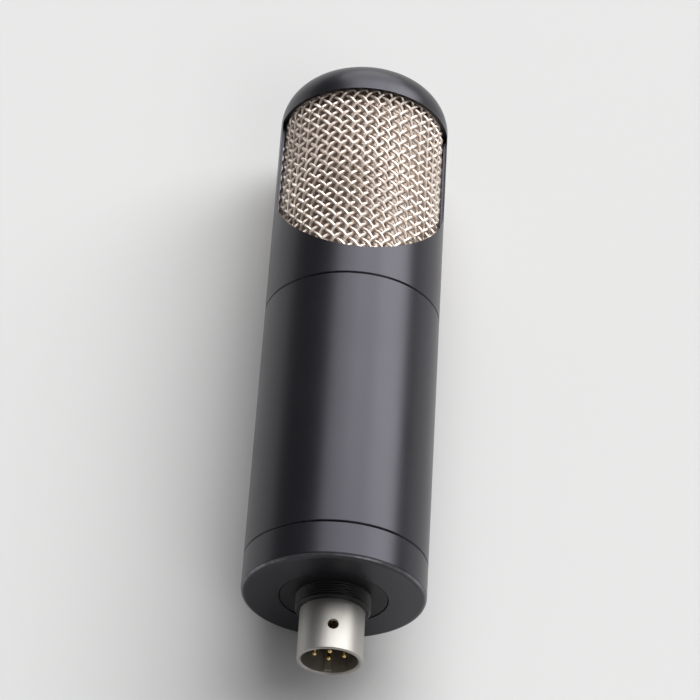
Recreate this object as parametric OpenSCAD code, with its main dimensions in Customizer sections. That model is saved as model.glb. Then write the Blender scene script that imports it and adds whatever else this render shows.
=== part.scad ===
// Side-address valve microphone with a large-diaphragm capsule, lying on its back.
// Each piece is drawn upright with the connector rim at zero and the front toward -Y.
// lay() then turns it so that the head points along +Y and the front faces +Z.

/* [Barrel] */
// Outside diameter of the barrel
body_d = 54; // [53:0.5:60]
// Length of the base ring that screws on from below
ring_len = 11.1; // [9:0.1:14]
// Length of the body sleeve
sleeve_len = 84.3; // [80:0.1:100]
// Wall of the sleeve
sleeve_wall = 2; // [1.6:0.1:2.2]
// Open seam between neighbouring barrel pieces
seam_gap = 0.2; // [0.15:0.05:0.4]
// Chamfer on the barrel edges at the seams
seam_chamfer = 0.3; // [0.1:0.05:0.5]
// Rounding of the lower edge of the base ring
ring_edge_r = 1.4; // [0.6:0.1:2]

/* [Head] */
// Height of the head shell from its seam to the crown
head_len = 85.8; // [80:0.1:96]
// Wall of the head shell
head_wall = 1.1; // [1:0.05:1.4]
// Radius of the shoulder that rounds the top
shoulder_r = 13; // [10:0.5:15]
// Height of the closed cap above the level upper edge of the windows
cap_h = 16.2; // [16:0.1:20]
// Width of the window, front and rear
window_w = 53; // [50:0.2:53.6]
// Height of the rounded lower half of the window
arch_h = 31; // [26:0.5:34]
// Height of the plain skirt below the window
skirt_len = 9.4; // [8.6:0.1:11]
// Width of the two side pillars between the windows
pillar_w = 6.5; // [5:0.5:14]

/* [Grille] */
// Wires in each of the two diagonal directions
wires = 40; // [30:2:44]
// Thickness of a grille wire
wire_d = 0.94; // [0.7:0.02:1]
// Angle of the wires to the horizontal
wire_lay = 45; // [40:1:50]

/* [Capsule] */
// Diameter of the capsule
capsule_d = 34; // [30:0.5:35]
// Thickness of the backplate
backplate_t = 5; // [4:0.1:6]
// Screws in each clamp ring
ring_screws = 12; // [8:1:14]

/* [Neck and connector] */
// Diameter of the threaded neck
neck_d = 22; // [21.6:0.1:23]
// Length of the threaded neck below the base ring
neck_len = 4.5; // [4:0.1:8]
// Outside diameter of the connector shell
connector_d = 19; // [18.6:0.1:19.2]
// Length of the connector shell below the neck
connector_len = 15.5; // [14.5:0.5:19]
// Pins on the circle round the centre pin
outer_pins = 6; // [4:1:6]
// Diameter of a contact pin
pin_d = 1.5; // [1.2:0.1:1.7]

/* [Valve] */
// Diameter of the glass envelope
valve_d = 21.6; // [20:0.2:22]
// Height of the glass above its socket
valve_len = 47; // [44:0.5:49]
// Distance of the valve axis in front of the barrel axis
valve_front = 10.6; // [10:0.1:11]

/* [Hidden] */
$fn = 96;
fit = 0.05;
running_gap = 0.3;
body_r = body_d / 2;
neck_r = neck_d / 2;
con_r = connector_d / 2;

// Stations along the axis, from the connector rim up
neck_z = connector_len;
base_z = neck_z + neck_len;
ring_top = base_z + ring_len;
sleeve_z = ring_top + seam_gap;
sleeve_top = sleeve_z + sleeve_len;
head_z = sleeve_top + seam_gap;
total = head_z + head_len;
window_low = head_z + skirt_len;
window_top = total - cap_h;
capsule_z = (window_low + window_top) / 2;

// Head profile: a shoulder arc round a ring of this radius, closed by a shallow crown, flat at its middle
crown_angle = 80;
crown_flat = 0.01;
ring_r = body_r - shoulder_r;
crown_rise = shoulder_r + ring_r / cos(crown_angle) - ring_r * tan(crown_angle) - crown_flat;
shoulder_z = total - crown_rise;
head_in_r = body_r - head_wall;
sleeve_in_r = body_r - sleeve_wall;
chassis_r = sleeve_in_r - running_gap;

// Head plate and what stands on it
plate_z = head_z + 0.1;
plate_top = plate_z + 4.1;
spigot_z = plate_z - 5.4;
spigot_bore = chassis_r - 8.2;
side_screw_z = (plate_z + plate_top) / 2;

// Grille: outer and inner layer of wire, then the fine gauze
wire_r = wire_d / 2;
outer_wire_r = head_in_r - 0.12 - wire_r;
inner_wire_r = outer_wire_r - wire_d - 0.04;
gauze_r = inner_wire_r - wire_r - 0.2;
gauze_t = 0.2;
rim_z = plate_top + fit;
rim_h = 2.4;
wire_z0 = rim_z + rim_h + fit;
wire_z1 = window_top + 0.8;
wire_steps = 11;
hoop_r = 0.5;

// Capsule layers, counted forward and back from its middle plane
cap_r = capsule_d / 2;
cap_half = backplate_t / 2;
film_y = cap_half + 0.02;
film_t = 0.08;
clamp_y = film_y + film_t + 0.02;
clamp_t = 1.6;
clamp_in = cap_r - 3.6;
terminal_t = 1.4;
lead_x = 9.5;
lead_y = 8;
saddle_out = cap_r + 3;
saddle_half = 3.4;
mount_h = 2;
foot_z = plate_top + mount_h;
foot_t = 2;

// Base plate: a cup with a flange inside the sleeve
hub_z = base_z + 0.2;
lip_t = 2.4;
hub_r = neck_r + 4.7;
boss_r = chassis_r - 1.5;
boss_z = base_z + lip_t + running_gap;
cup_floor = boss_z + 2.4;
cup_r = boss_r - 3.2;
flange_z = sleeve_z + 0.8;
flange_top = flange_z + 4;
bush_r = neck_r - 0.3;

// Connector
con_wall = 1.2;
con_in = con_r - con_wall;
con_top = cup_floor + 1.6;
insert_z = 11.8;
insert_top = con_top - 2;
pin_tip = 2.8;
pin_circle = 5;
latch_z = neck_z - 8;
latch_r = 1.6;

// Rails, board and shelf
rail_x = body_r - 6.2;
rail_t = 2.2;
rail_front = 4.5;
rail_back = 6;
foot_x = rail_x - 4;
foot_screw_x = foot_x + 2.1;
board_y = 2.2;
board_t = 1.6;
board_back = board_y + board_t;
board_hw = rail_x - 3.3;
board_z = flange_top + 1.4;
board_low = flange_top + 2.6;
board_top = spigot_z - 3.5;
tab_t = 2;
tab_low = board_z + 3;
tab_high = board_top - 5;
screw_r = 1;
head_r = 1.7;
head_t = 1.2;
shelf_z = flange_top + 6;
shelf_t = 1.6;
shelf_screw_z = shelf_z + 6;
shelf_hw = 13;
shelf_edge = 0.6;

// Valve and socket
valve_y = -valve_front;
valve_r = valve_d / 2;
socket_top = shelf_z + shelf_t + 3;
barrel_r = 8;
valve_pin_count = 9;
valve_pin_r = 0.5;
valve_circle = 5.95;
glass_z = socket_top + 0.6;
stem_t = 1.6;
glass_t = 1;
pip_len = 2.6;
bulb_z = glass_z + stem_t;
bulb_dome_z = glass_z + valve_len - pip_len - valve_r * 0.62;
mica_low = bulb_z + valve_len * 0.2;
mica_high = mica_low + valve_len * 0.46;
mica_t = 0.5;

// Transformer behind the board
core_hx = 13;
core_y = board_back + 3.7;
core_d = 12;
core_z = board_z + 4;
core_h = 26;
yoke = 5;
leg_hx = 4.5;
win_hx = 9;
strap_t = 1;
flange_w = 3.4;
winding_w = 2.7;

// Steps shared by the round-wire pieces
lead_steps = 14;
lead_sides = 6;

// Placement and shared shapes

module lay() {
    translate([0, -total / 2, body_r])
        rotate([-90, 0, 0])
            children();
}

// Points along Y from its children's XY plane, toward the front
module face_front(y) {
    translate([0, y, 0])
        rotate([90, 0, 0])
            children();
}

module box(x0, x1, y0, y1, z0, z1) {
    translate([x0, y0, z0])
        cube([x1 - x0, y1 - y0, z1 - z0]);
}

module tube(r_out, r_in, z0, z1) {
    translate([0, 0, z0])
        difference() {
            cylinder(r = r_out, h = z1 - z0);
            translate([0, 0, -1])
                cylinder(r = r_in, h = z1 - z0 + 2);
        }
}

// Rectangle with round corners, as plain circles and squares
module round_rect(w, d, r) {
    square([w - 2 * r, d], center = true);
    square([w, d - 2 * r], center = true);
    for (x = [-1, 1], y = [-1, 1])
        translate([x * (w / 2 - r), y * (d / 2 - r)])
            circle(r = r);
}

// Wall of a barrel piece with both ends chamfered outside
module barrel_wall(r_out, r_in, z0, z1) {
    c = seam_chamfer;
    rotate_extrude()
        polygon([[r_in, z0], [r_out - c, z0], [r_out, z0 + c],
            [r_out, z1 - c], [r_out - c, z1], [r_in, z1]]);
}

// Half section of the domed head, filled to the axis, for a surface of radius r
module dome_section(r, foot) {
    s = r - ring_r;
    crown_r = s + ring_r / cos(crown_angle);
    top_x = ring_r + s * cos(crown_angle);
    translate([0, foot])
        square([r, shoulder_z - foot]);
    intersection() {
        translate([ring_r, shoulder_z])
            circle(r = s);
        translate([0, shoulder_z - fit])
            square([r, s]);
    }
    intersection() {
        translate([0, shoulder_z - ring_r * tan(crown_angle)])
            circle(r = crown_r);
        translate([0, shoulder_z - fit])
            square([top_x, crown_r - ring_r * tan(crown_angle) - crown_flat + fit]);
    }
}

// Cheese-head screw pointing down from its head's underside at the origin
module screw(len) {
    cylinder(r = head_r, h = head_t);
    translate([0, 0, -len])
        cylinder(r = screw_r, h = len + fit);
}

// Round wires as closed tubes: rings of points along a path, all in one polyhedron

function wire_turn(z) = (z - wire_z0) / (outer_wire_r * tan(wire_lay)) * 180 / PI;

function wire_ring(r, dir, a0, z) =
    let (a = a0 + dir * wire_turn(z))
    let (out = [cos(a), sin(a), 0])
    let (side = sin(wire_lay) * [-sin(a), cos(a), 0] - dir * cos(wire_lay) * [0, 0, 1])
    let (mid = r * out + [0, 0, z])
    [for (k = [0:3]) mid + wire_r * (cos(90 * k) * out + sin(90 * k) * side)];

function wire_points(r, dir) = [for (w = [0:wires - 1], i = [0:wire_steps])
    each wire_ring(r, dir, 360 / wires * w, wire_z0 + (wire_z1 - wire_z0) * i / wire_steps)];

function tube_skin(first, rings, n) = [for (i = [0:rings - 2], k = [0:n - 1])
    let (a = first + i * n + k)
    let (b = first + i * n + (k + 1) % n)
    each [[a, a + n, b + n], [a, b + n, b]]];

function tube_caps(first, rings, n) = let (last = first + (rings - 1) * n)
    [for (k = [1:n - 2]) each [[first, first + k, first + k + 1],
        [last, last + k + 1, last + k]]];

function tube_faces(count, rings, n) = [for (w = [0:count - 1])
    each concat(tube_skin(w * rings * n, rings, n), tube_caps(w * rings * n, rings, n))];

function cubic(a, b, c, d, t) = pow(1 - t, 3) * a + 3 * t * pow(1 - t, 2) * b
    + 3 * t * t * (1 - t) * c + pow(t, 3) * d;

// Point at share t of a chain of cubic pieces, four points for the first and three for each more
function bezier(p, t) =
    let (pieces = (len(p) - 1) / 3)
    let (i = min(floor(t * pieces), pieces - 1))
    cubic(p[3 * i], p[3 * i + 1], p[3 * i + 2], p[3 * i + 3], t * pieces - i);

function lead_ring(p, t, r) =
    let (d = bezier(p, min(t + 0.01, 1)) - bezier(p, max(t - 0.01, 0)))
    let (u = d / norm(d))
    let (s = cross(u, [0.31, 0.93, 0.2]))
    let (v = s / norm(s))
    let (w = cross(u, v))
    [for (k = [0:lead_sides - 1]) bezier(p, t)
        + r * (cos(360 / lead_sides * k) * v + sin(360 / lead_sides * k) * w)];

function lead_points(p, r) = [for (i = [0:lead_steps]) each lead_ring(p, i / lead_steps, r)];

module leads(paths, r) {
    polyhedron(points = [for (p = paths) each lead_points(p, r)],
        faces = tube_faces(len(paths), lead_steps + 1, lead_sides));
}

// Head

// A window cut from the pillar's edge outward, so that full-thickness pillars stay at the sides
module window(dir) {
    flank_z = window_low + arch_h;
    translate([0, dir < 0 ? -pillar_w / 2 : body_r + pillar_w / 2, 0])
        rotate([90, 0, 0])
            linear_extrude(height = body_r) {
                intersection() {
                    translate([0, flank_z])
                        scale([window_w / 2, arch_h])
                            circle(r = 1);
                    translate([-body_r, window_low - 1])
                        square([body_d, arch_h + 1 + fit]);
                }
                translate([-window_w / 2, flank_z])
                    square([window_w, window_top - flank_z]);
            }
}

module head_shell() {
    color([0.13, 0.13, 0.15])
        lay()
            difference() {
                rotate_extrude()
                    difference() {
                        dome_section(body_r, head_z);
                        dome_section(head_in_r, head_z - 1);
                        translate([body_r - seam_chamfer, head_z])
                            rotate(-45)
                                square([2, 1], center = false);
                    }
                window(-1);
                window(1);
                for (s = [-1, 1])
                    side_screw(s, 0.1);
            }
}

// Countersunk screw through the skirt into the head plate's edge, grown by g all round
module side_screw(s, g) {
    translate([s * (body_r - 0.15), 0, side_screw_z])
        rotate([0, -90 * s, 0]) {
            translate([0, 0, -5 * g])
                cylinder(r = 1.9 + g, h = 5 * g + fit);
            cylinder(r1 = 1.9 + g, r2 = screw_r + g, h = 1.1);
            cylinder(r = screw_r + g, h = 8);
        }
}

module head_screws() {
    color([0.2, 0.2, 0.22])
        lay()
            for (s = [-1, 1])
                side_screw(s, 0);
}

module grille_wires() {
    color([0.85, 0.8, 0.74])
        lay()
            polyhedron(
                points = concat(wire_points(outer_wire_r, 1), wire_points(inner_wire_r, -1)),
                faces = tube_faces(2 * wires, wire_steps + 1, 4));
}

module grille_rims() {
    hoop_z = wire_z1 + hoop_r + fit;
    color([0.8, 0.76, 0.7])
        lay() {
            tube(outer_wire_r + wire_r, inner_wire_r - wire_r, rim_z, rim_z + rim_h);
            rotate_extrude()
                translate([(outer_wire_r + inner_wire_r) / 2, hoop_z])
                    circle(r = hoop_r);
        }
}

module inner_gauze() {
    color([0.3, 0.27, 0.24])
        lay()
            rotate_extrude()
                difference() {
                    dome_section(gauze_r, rim_z);
                    dome_section(gauze_r - gauze_t, rim_z - 1);
                }
}

module head_plate() {
    color([0.55, 0.56, 0.58])
        lay()
            difference() {
                union() {
                    translate([0, 0, plate_z])
                        cylinder(r = head_in_r - fit, h = plate_top - plate_z);
                    tube(chassis_r, spigot_bore, spigot_z, plate_z + fit);
                }
                for (s = [-1, 1])
                    side_screw(s, 0);
                for (s = [-1, 1])
                    translate([s * lead_x, s * lead_y, plate_z - 1])
                        cylinder(r = 1.6, h = 10);
                for (s = [-1, 1])
                    translate([s * foot_screw_x, 0, spigot_z])
                        cylinder(r = screw_r, h = 4.6, center = true);
            }
}

// Capsule

module capsule_backplate() {
    color([0.78, 0.6, 0.28])
        lay()
            translate([0, 0, capsule_z])
                face_front(cap_half)
                    difference() {
                        cylinder(r = cap_r, h = backplate_t);
                        for (k = [0:11])
                            rotate(30 * k)
                                translate([cap_r * 0.56, 0, -1])
                                    cylinder(r = 0.7, h = backplate_t + 2);
                        for (k = [0:5])
                            rotate(60 * k)
                                translate([cap_r * 0.3, 0, -1])
                                    cylinder(r = 0.7, h = backplate_t + 2);
                    }
}

// Layer of the capsule between two distances from its middle, front for dir -1
module capsule_layer(dir, y0, t) {
    translate([0, dir < 0 ? -y0 : y0 + t, capsule_z])
        rotate([90, 0, 0])
            linear_extrude(height = t)
                children();
}

module front_diaphragm() {
    color([0.9, 0.75, 0.4])
        lay()
            capsule_layer(-1, film_y, film_t)
                circle(r = cap_r - 1);
}

module rear_diaphragm() {
    color([0.9, 0.75, 0.4])
        lay()
            capsule_layer(1, film_y, film_t)
                circle(r = cap_r - 1);
}

module clamp_ring(dir) {
    capsule_layer(dir, clamp_y, clamp_t)
        difference() {
            circle(r = cap_r);
            circle(r = clamp_in);
        }
}

module front_clamp_ring() {
    color([0.75, 0.7, 0.6])
        lay()
            clamp_ring(-1);
}

module rear_clamp_ring() {
    color([0.75, 0.7, 0.6])
        lay()
            clamp_ring(1);
}

module capsule_screws() {
    color([0.6, 0.5, 0.3])
        lay()
            for (dir = [-1, 1], k = [0:ring_screws - 1])
                capsule_layer(dir, clamp_y + clamp_t, 0.6)
                    rotate(360 / ring_screws * (k + 0.5))
                        translate([(cap_r + clamp_in) / 2, 0])
                            circle(r = 0.85, $fn = 24);
}

module capsule_terminals() {
    color([0.8, 0.65, 0.35])
        lay()
            for (dir = [-1, 1])
                capsule_layer(dir, clamp_y, terminal_t)
                    circle(r = 1.5, $fn = 32);
}

module capsule_saddle() {
    top_cut = capsule_z - cap_r * 0.42;
    color([0.12, 0.12, 0.13])
        lay()
            difference() {
                union() {
                    translate([0, 0, capsule_z])
                        face_front(saddle_half)
                            cylinder(r = saddle_out, h = 2 * saddle_half);
                    box(-5, 5, -3, 3, foot_z + foot_t - fit, capsule_z - cap_r - 1);
                    translate([0, 0, foot_z])
                        cylinder(r = 9, h = foot_t);
                }
                translate([0, 0, capsule_z])
                    face_front(saddle_half + 1)
                        cylinder(r = cap_r - 0.7, h = 2 * saddle_half + 2);
                translate([0, 0, capsule_z])
                    face_front(clamp_y + clamp_t + 0.02)
                        cylinder(r = cap_r + 0.02, h = 2 * (clamp_y + clamp_t + 0.02));
                box(-30, 30, -10, 10, top_cut, capsule_z + cap_r * 2);
            }
}

module capsule_mount() {
    color([0.16, 0.16, 0.16])
        lay()
            translate([0, 0, plate_top])
                cylinder(r = 7, h = mount_h);
}

module capsule_leads() {
    lead_r = 0.45;
    top_y = clamp_y + terminal_t + lead_r + fit;
    end_y = function(s) s < 0 ? board_y - lead_r - fit : board_back + lead_r + fit;
    path = function(s) [[0, s * top_y, capsule_z],
        [s * 3, s * (top_y + 7), capsule_z - 9],
        [s * lead_x, s * lead_y, plate_top + 14], [s * lead_x, s * lead_y, plate_z + 2],
        [s * lead_x, s * lead_y, plate_z - 8],
        [s * lead_x, end_y(s), board_top + 2], [s * lead_x, end_y(s), board_top - 4]];
    color([0.75, 0.15, 0.12])
        lay()
            leads([path(-1), path(1)], lead_r);
}

// Chassis

module rail(s) {
    mirror([s < 0 ? 1 : 0, 0, 0])
        difference() {
            union() {
                box(rail_x, rail_x + rail_t, -rail_front, rail_back, flange_top, spigot_z);
                box(foot_x, rail_x + fit, -rail_front, rail_front, flange_top, flange_top + 2.4);
                box(foot_x, rail_x + fit, -rail_front, rail_front, spigot_z - 2.4, spigot_z);
                for (z = [tab_low, tab_high])
                    box(board_hw - 2.6, rail_x + fit, board_back + 0.02, board_back + tab_t,
                        z - 2.5, z + 2.5);
            }
            translate([foot_screw_x, 0, 0])
                cylinder(r = screw_r, h = total);
            translate([0, 0, shelf_screw_z])
                rotate([0, 90, 0])
                    cylinder(r = screw_r, h = body_r);
            for (z = [tab_low, tab_high])
                translate([board_hw - 1.2, board_y + 9, z])
                    rotate([90, 0, 0])
                        cylinder(r = screw_r, h = 9);
        }
}

module left_rail() {
    color([0.62, 0.63, 0.65])
        lay()
            rail(-1);
}

module right_rail() {
    color([0.62, 0.63, 0.65])
        lay()
            rail(1);
}

module rail_screws() {
    color([0.5, 0.5, 0.52])
        lay()
            for (s = [-1, 1]) {
                translate([s * foot_screw_x, 0, flange_top + 2.4])
                    screw(4.8);
                translate([s * foot_screw_x, 0, spigot_z - 2.4])
                    rotate([180, 0, 0])
                        screw(4.6);
            }
}

module base_plate() {
    color([0.45, 0.46, 0.48])
        lay()
            difference() {
                rotate_extrude()
                    polygon([[bush_r, hub_z], [hub_r, hub_z], [hub_r, boss_z], [boss_r, boss_z],
                        [boss_r, flange_z], [chassis_r, flange_z], [chassis_r, flange_top],
                        [spigot_bore, flange_top], [spigot_bore, flange_z], [cup_r, flange_z - 3],
                        [cup_r, cup_floor], [bush_r, cup_floor]]);
                for (s = [-1, 1])
                    translate([s * foot_screw_x, 0, flange_top])
                        cylinder(r = screw_r, h = 4.8, center = true);
            }
}

module threaded_neck() {
    bore = con_r + fit;
    rim = 0.6;
    color([0.1, 0.1, 0.11])
        lay()
            rotate_extrude()
                polygon([[bore, neck_z], [neck_r - rim, neck_z], [neck_r, neck_z + rim],
                    [neck_r, hub_z], [bush_r, hub_z], [bush_r, cup_floor + 2], [bore, cup_floor + 2]]);
}

module connector_shell() {
    key_d = 0.8;
    color([0.78, 0.78, 0.76])
        lay() {
            difference() {
                rotate_extrude()
                    polygon([[con_in, 0.4], [con_in + 0.4, 0], [con_r - 0.3, 0], [con_r, 0.3],
                        [con_r, con_top], [con_in, con_top]]);
                translate([0, 0, latch_z])
                    rotate([90, 0, 0])
                        cylinder(r = latch_r, h = con_r + 1);
            }
            difference() {
                box(-1, 1, con_in - key_d, con_in + con_wall / 2, 1, insert_z - 0.5);
                tube(con_r + 2, con_in + con_wall / 2, 0, neck_z);
            }
        }
}

module pin_places() {
    children();
    for (k = [0:outer_pins - 1])
        rotate(360 / outer_pins * (k + 0.5))
            translate([pin_circle, 0, 0])
                children();
}

module connector_insert() {
    color([0.08, 0.08, 0.08])
        lay()
            difference() {
                translate([0, 0, insert_z])
                    cylinder(r = con_in - fit, h = insert_top - insert_z);
                pin_places()
                    translate([0, 0, insert_z - 1])
                        cylinder(r = pin_d / 2, h = insert_top, $fn = 32);
            }
}

module connector_pins() {
    color([0.83, 0.72, 0.42])
        lay()
            pin_places() {
                translate([0, 0, pin_tip + pin_d / 2])
                    cylinder(r = pin_d / 2, h = con_top + 1 - pin_tip, $fn = 32);
                translate([0, 0, pin_tip + pin_d / 2])
                    sphere(r = pin_d / 2, $fn = 32);
            }
}

module connector_leads() {
    z0 = con_top + 1 + pin_d / 2 + fit;
    z1 = board_z + 2;
    path = function(k) let (a = 360 / outer_pins * (k + 0.5))
        [[pin_circle * cos(a), pin_circle * sin(a), z0],
        [pin_circle * cos(a), pin_circle * sin(a), z0 + 5],
        [2.4 * k - 6, board_y - 6, z1 - 6], [2.4 * k - 6, board_y - 0.6, z1]];
    color([0.2, 0.3, 0.6])
        lay()
            leads([for (k = [0:outer_pins - 1]) path(k)], 0.5);
}

// Circuit

module circuit_board() {
    color([0.1, 0.3, 0.18])
        lay()
            difference() {
                box(-board_hw, board_hw, board_y, board_back, board_low, board_top);
                for (s = [-1, 1], z = [tab_low, tab_high])
                    translate([s * (board_hw - 1.2), board_back + 1, z])
                        rotate([90, 0, 0])
                            cylinder(r = screw_r, h = 4);
                for (s = [-1, 1])
                    translate([s * (core_hx + strap_t + 1.7), board_back + 1, core_z + core_h / 2])
                        rotate([90, 0, 0])
                            cylinder(r = screw_r, h = 4);
            }
}

module board_screws() {
    color([0.55, 0.55, 0.57])
        lay()
            for (s = [-1, 1], z = [tab_low, tab_high])
                translate([s * (board_hw - 1.2), board_y, z])
                    rotate([90, 0, 0])
                        screw(board_t + tab_t);
}

module film_capacitors() {
    z0 = core_z + core_h + 6;
    color([0.72, 0.18, 0.12])
        lay() {
            box(-14, 3, board_back, board_back + 9.5, z0, z0 + 13);
            box(-14, -1, board_back, board_back + 7, z0 + 16, z0 + 24);
        }
}

module electrolytic_capacitors() {
    z0 = core_z + core_h + 10;
    color([0.12, 0.16, 0.3])
        lay()
            for (k = [0:1])
                translate([9.5, board_back + 11.5, z0 + 10.5 * k])
                    rotate([90, 0, 0])
                        cylinder(r = 4.2, h = 11.5);
}

module resistors() {
    pitch = 11;
    color([0.55, 0.68, 0.75])
        lay()
            for (s = [-1, 1], k = [0:3])
                translate([s * (board_hw - 5.2), board_y - 1.3, tab_low + 9 + pitch * k]) {
                    cylinder(r = 1.2, h = 6.4, center = true);
                    cylinder(r = 0.35, h = 9, center = true, $fn = 24);
                }
}

module valve_shelf() {
    edge = rail_x - 0.1;
    inset = 0.1;
    color([0.66, 0.67, 0.69])
        lay() {
            translate([0, 0, shelf_z])
                linear_extrude(height = shelf_t)
                    difference() {
                        union() {
                            translate([-edge, -rail_front])
                                square([2 * edge, rail_front + shelf_edge]);
                            translate([-shelf_hw, valve_y - 9])
                                square([2 * shelf_hw, 9 + shelf_edge - valve_y]);
                        }
                        translate([0, valve_y])
                            circle(r = barrel_r + 0.1);
                    }
            for (s = [-1, 1])
                mirror([s < 0 ? 1 : 0, 0, 0])
                    difference() {
                        box(edge - inset - shelf_t, edge - inset, inset - rail_front, shelf_edge - inset,
                            shelf_z + shelf_t - fit, shelf_screw_z + 3);
                        translate([0, 0, shelf_screw_z])
                            rotate([0, 90, 0])
                                cylinder(r = screw_r, h = body_r);
                    }
        }
}

module shelf_screws() {
    color([0.5, 0.5, 0.52])
        lay()
            for (s = [-1, 1])
                translate([s * (rail_x + rail_t), 0, shelf_screw_z])
                    rotate([0, 90 * s, 0])
                        screw(rail_t + 1.6);
}

module valve_circle_places() {
    for (k = [0:valve_pin_count - 1])
        rotate(360 / (valve_pin_count + 1) * (k + 1) + 90)
            translate([valve_circle, 0, 0])
                children();
}

module valve_socket() {
    color([0.9, 0.88, 0.82])
        lay()
            translate([0, valve_y, 0])
                difference() {
                    union() {
                        translate([0, 0, shelf_z + shelf_t])
                            cylinder(r = barrel_r + 2.2, h = socket_top - shelf_z - shelf_t);
                        translate([0, 0, shelf_z - 2])
                            cylinder(r = barrel_r, h = shelf_t + 2 + fit);
                    }
                    valve_circle_places()
                        translate([0, 0, shelf_z - 3])
                            cylinder(r = valve_pin_r + 0.1, h = 20, $fn = 24);
                    translate([0, 0, shelf_z - 3])
                        cylinder(r = 2, h = 20);
                }
}

module socket_contacts() {
    color([0.8, 0.72, 0.45])
        lay()
            translate([0, valve_y, 0])
                valve_circle_places()
                    translate([0, 0, shelf_z - 5.4])
                        cylinder(r = 0.75, h = 3.4, $fn = 24);
}

// Valve

module valve_envelope() {
    r = valve_r;
    dome_h = r * 0.62;
    color([0.8, 0.86, 0.88, 0.4])
        lay()
            translate([0, valve_y, 0])
                rotate_extrude()
                    difference() {
                        bulb_section(r, dome_h, 0);
                        bulb_section(r - glass_t, dome_h - glass_t, 1);
                    }
}

// Half section of the bulb: straight wall, a dished top and the seal-off pip
module bulb_section(r, h, below) {
    cap_r = (r * r + h * h) / (2 * h);
    translate([0, bulb_z - below])
        square([r, bulb_dome_z - bulb_z + below]);
    intersection() {
        translate([0, bulb_dome_z + h - cap_r])
            circle(r = cap_r);
        translate([0, bulb_dome_z - fit])
            square([r, h + 1]);
    }
    if (below == 0)
        translate([0, bulb_dome_z + h - 0.5])
            polygon([[0, 0], [2.2, 0], [1.1, 1.6], [0.5, pip_len + 0.5], [0, pip_len + 0.5]]);
}

module valve_stem() {
    color([0.75, 0.82, 0.84, 0.5])
        lay()
            translate([0, valve_y, 0])
                rotate_extrude()
                    polygon([[0, glass_z], [valve_r - 1.6, glass_z], [valve_r, bulb_z], [0, bulb_z]]);
}

module valve_pins() {
    color([0.75, 0.74, 0.7])
        lay()
            translate([0, valve_y, 0])
                valve_circle_places()
                    translate([0, 0, shelf_z - 1.4])
                        cylinder(r = valve_pin_r, h = glass_z - shelf_z + 1.4, $fn = 24);
}

module valve_anodes() {
    color([0.35, 0.35, 0.37])
        lay()
            translate([0, valve_y, 0])
                for (s = [-1, 1])
                    translate([s * 4.2, 0, mica_low + mica_t])
                        linear_extrude(height = mica_high - mica_low - mica_t)
                            difference() {
                                round_rect(6.6, 9.6, 1.6);
                                round_rect(5.6, 8.6, 1.1);
                            }
}

module valve_micas() {
    color([0.85, 0.83, 0.76])
        lay()
            translate([0, valve_y, 0])
                for (z = [mica_low, mica_high])
                    translate([0, 0, z])
                        linear_extrude(height = mica_t)
                            difference() {
                                circle(r = valve_r - glass_t - 0.15);
                                for (s = [-1, 1])
                                    translate([0, s * 6.6])
                                        circle(r = 0.5, $fn = 24);
                            }
}

module valve_rods() {
    color([0.6, 0.6, 0.6])
        lay()
            translate([0, valve_y, 0])
                for (s = [-1, 1])
                    translate([0, s * 6.6, bulb_z])
                        cylinder(r = 0.45, h = mica_high + 2.6 - bulb_z, $fn = 24);
}

module valve_getter() {
    color([0.45, 0.45, 0.46])
        lay()
            translate([0, valve_y, mica_high + 3])
                rotate_extrude()
                    translate([6.4, 0])
                        circle(r = 0.38, $fn = 24);
}

// Transformer

module transformer_core() {
    color([0.32, 0.33, 0.35])
        lay()
            difference() {
                box(-core_hx, core_hx, core_y, core_y + core_d, core_z, core_z + core_h);
                for (s = [-1, 1])
                    mirror([s < 0 ? 1 : 0, 0, 0])
                        box(leg_hx, win_hx, core_y - 1, core_y + core_d + 1,
                            core_z + yoke, core_z + core_h - yoke);
            }
}

// A layer of the coil round the middle leg, w wider all round than the leg
module coil(w_out, w_in, z0, z1) {
    translate([0, core_y + core_d / 2, z0])
        linear_extrude(height = z1 - z0)
            difference() {
                round_rect(2 * (leg_hx + w_out), core_d + 2 * w_out, 0.6 * w_out);
                square([2 * (leg_hx + w_in), core_d + 2 * w_in], center = true);
            }
}

module transformer_bobbin() {
    z0 = core_z + yoke + 0.1;
    z1 = core_z + core_h - yoke - 0.1;
    color([0.85, 0.83, 0.75])
        lay() {
            coil(0.5, 0.05, z0, z1);
            coil(flange_w, 0.05, z0, z0 + 0.9);
            coil(flange_w, 0.05, z1 - 0.9, z1);
        }
}

module transformer_winding() {
    color([0.7, 0.36, 0.12])
        lay()
            coil(winding_w, 0.52, core_z + yoke + 1.02, core_z + core_h - yoke - 1.02);
}

module transformer_strap() {
    top = core_z + core_h + fit;
    side = core_hx + fit;
    mid = core_z + core_h / 2;
    color([0.68, 0.69, 0.7])
        lay()
            difference() {
                union() {
                    box(-side - strap_t, side + strap_t, core_y, core_y + core_d, top, top + strap_t);
                    for (s = [-1, 1])
                        mirror([s < 0 ? 1 : 0, 0, 0]) {
                            box(side, side + strap_t, board_back, core_y + core_d,
                                core_z + 3, top + strap_t);
                            box(side, side + strap_t + 3, board_back, board_back + strap_t,
                                mid - 4, mid + 4);
                        }
                }
                for (s = [-1, 1])
                    translate([s * (core_hx + strap_t + 1.7), board_back + 2, mid])
                        rotate([90, 0, 0])
                            cylinder(r = screw_r, h = 4);
            }
}

module strap_screws() {
    color([0.5, 0.5, 0.52])
        lay()
            for (s = [-1, 1])
                translate([s * (core_hx + strap_t + 1.7), board_y, core_z + core_h / 2])
                    rotate([90, 0, 0])
                        screw(board_t + strap_t);
}

// Barrel pieces that come off

module body_sleeve() {
    color([0.12, 0.12, 0.14])
        lay()
            barrel_wall(body_r, sleeve_in_r, sleeve_z, sleeve_top);
}

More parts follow.
